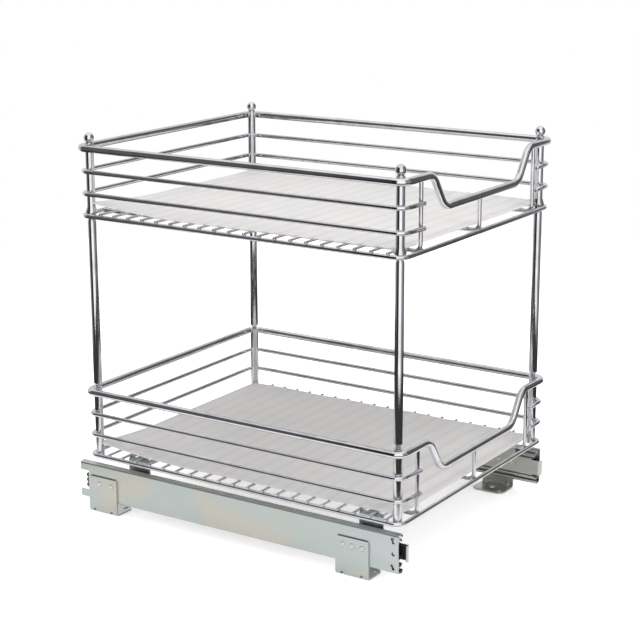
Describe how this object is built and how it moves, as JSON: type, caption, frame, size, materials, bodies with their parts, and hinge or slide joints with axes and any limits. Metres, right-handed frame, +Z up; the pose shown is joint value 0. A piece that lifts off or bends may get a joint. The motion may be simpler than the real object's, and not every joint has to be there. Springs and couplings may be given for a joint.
{
  "type": "under sink organizer",
  "caption": "Tiered wire basket organizer that pulls forward on telescopic ball slides with floor brackets, for a cabinet under a sink.",
  "frame": {"origin": "on the cupboard floor, under the middle of the organizer", "axes": "+X to the right across the width, +Y to the back of the cupboard, +Z up; the baskets pull out towards -Y"},
  "size_m": [0.3416, 0.4416, 0.4507],
  "materials": {
    "chrome_wire": "bright chrome plate on steel wire and tube",
    "zinc_plate": "pale zinc plate with a faint iridescent tint",
    "bearing_balls": "polished bearing steel",
    "black_plastic": "moulded black plastic",
    "frosted_liner": "frosted translucent sheet"
  },
  "bodies": {
    "base": {"foot_rivets_left": "zinc_plate", "foot_rivets_right": "zinc_plate", "front_foot_left": "zinc_plate", "front_foot_right": "zinc_plate", "outer_rail_left": "zinc_plate", "outer_rail_right": "zinc_plate", "rear_bumper_left": "black_plastic", "rear_bumper_right": "black_plastic", "rear_foot_left": "zinc_plate", "rear_foot_right": "zinc_plate"},
    "middle_left": {"middle_rail_left": "zinc_plate"},
    "outer_cage_body_left": {"outer_cage_left": "zinc_plate", "outer_balls_left": "bearing_balls"},
    "inner_cage_body_left": {"inner_cage_left": "zinc_plate", "inner_balls_left": "bearing_balls"},
    "middle_right": {"middle_rail_right": "zinc_plate"},
    "outer_cage_body_right": {"outer_cage_right": "zinc_plate", "outer_balls_right": "bearing_balls"},
    "inner_cage_body_right": {"inner_cage_right": "zinc_plate", "inner_balls_right": "bearing_balls"},
    "baskets": {"finials": "chrome_wire", "front_hanger_left": "zinc_plate", "front_hanger_right": "zinc_plate", "front_latch_left": "black_plastic", "front_latch_right": "black_plastic", "hanger_rivets_left": "zinc_plate", "hanger_rivets_right": "zinc_plate", "inner_rail_left": "zinc_plate", "inner_rail_right": "zinc_plate", "joining_studs": "chrome_wire", "legs": "chrome_wire", "lower_cross_wires": "chrome_wire", "lower_frame": "chrome_wire", "lower_liner": "frosted_liner", "lower_long_wires": "chrome_wire", "lower_mid_wire_high": "chrome_wire", "lower_mid_wire_low": "chrome_wire", "lower_posts": "chrome_wire", "lower_rim": "chrome_wire", "rear_hanger_left": "zinc_plate", "rear_hanger_right": "zinc_plate", "upper_cross_wires": "chrome_wire", "upper_frame": "chrome_wire", "upper_liner": "frosted_liner", "upper_long_wires": "chrome_wire", "upper_mid_wire_high": "chrome_wire", "upper_mid_wire_low": "chrome_wire", "upper_posts": "chrome_wire", "upper_rim": "chrome_wire"}
  },
  "joints": [
    {"name": "basket_slide", "type": "slide", "parent": "base", "child": "baskets", "axis": [0, -1, 0], "range_m": [0, 0.4]},
    {"name": "middle_rail_slide_left", "type": "slide", "parent": "base", "child": "middle_left", "axis": [0, -1, 0], "range_m": [0, 0.2]},
    {"name": "outer_cage_slide_left", "type": "slide", "parent": "base", "child": "outer_cage_body_left", "axis": [0, -1, 0], "range_m": [0, 0.1]},
    {"name": "inner_cage_slide_left", "type": "slide", "parent": "base", "child": "inner_cage_body_left", "axis": [0, -1, 0], "range_m": [0, 0.3]},
    {"name": "middle_rail_slide_right", "type": "slide", "parent": "base", "child": "middle_right", "axis": [0, -1, 0], "range_m": [0, 0.2]},
    {"name": "outer_cage_slide_right", "type": "slide", "parent": "base", "child": "outer_cage_body_right", "axis": [0, -1, 0], "range_m": [0, 0.1]},
    {"name": "inner_cage_slide_right", "type": "slide", "parent": "base", "child": "inner_cage_body_right", "axis": [0, -1, 0], "range_m": [0, 0.3]}
  ],
  "couplings": [
    {"joint": "middle_rail_slide_left", "follows": "basket_slide", "ratio": 0.5},
    {"joint": "outer_cage_slide_left", "follows": "basket_slide", "ratio": 0.25},
    {"joint": "inner_cage_slide_left", "follows": "basket_slide", "ratio": 0.75},
    {"joint": "middle_rail_slide_right", "follows": "basket_slide", "ratio": 0.5},
    {"joint": "outer_cage_slide_right", "follows": "basket_slide", "ratio": 0.25},
    {"joint": "inner_cage_slide_right", "follows": "basket_slide", "ratio": 0.75}
  ]
}
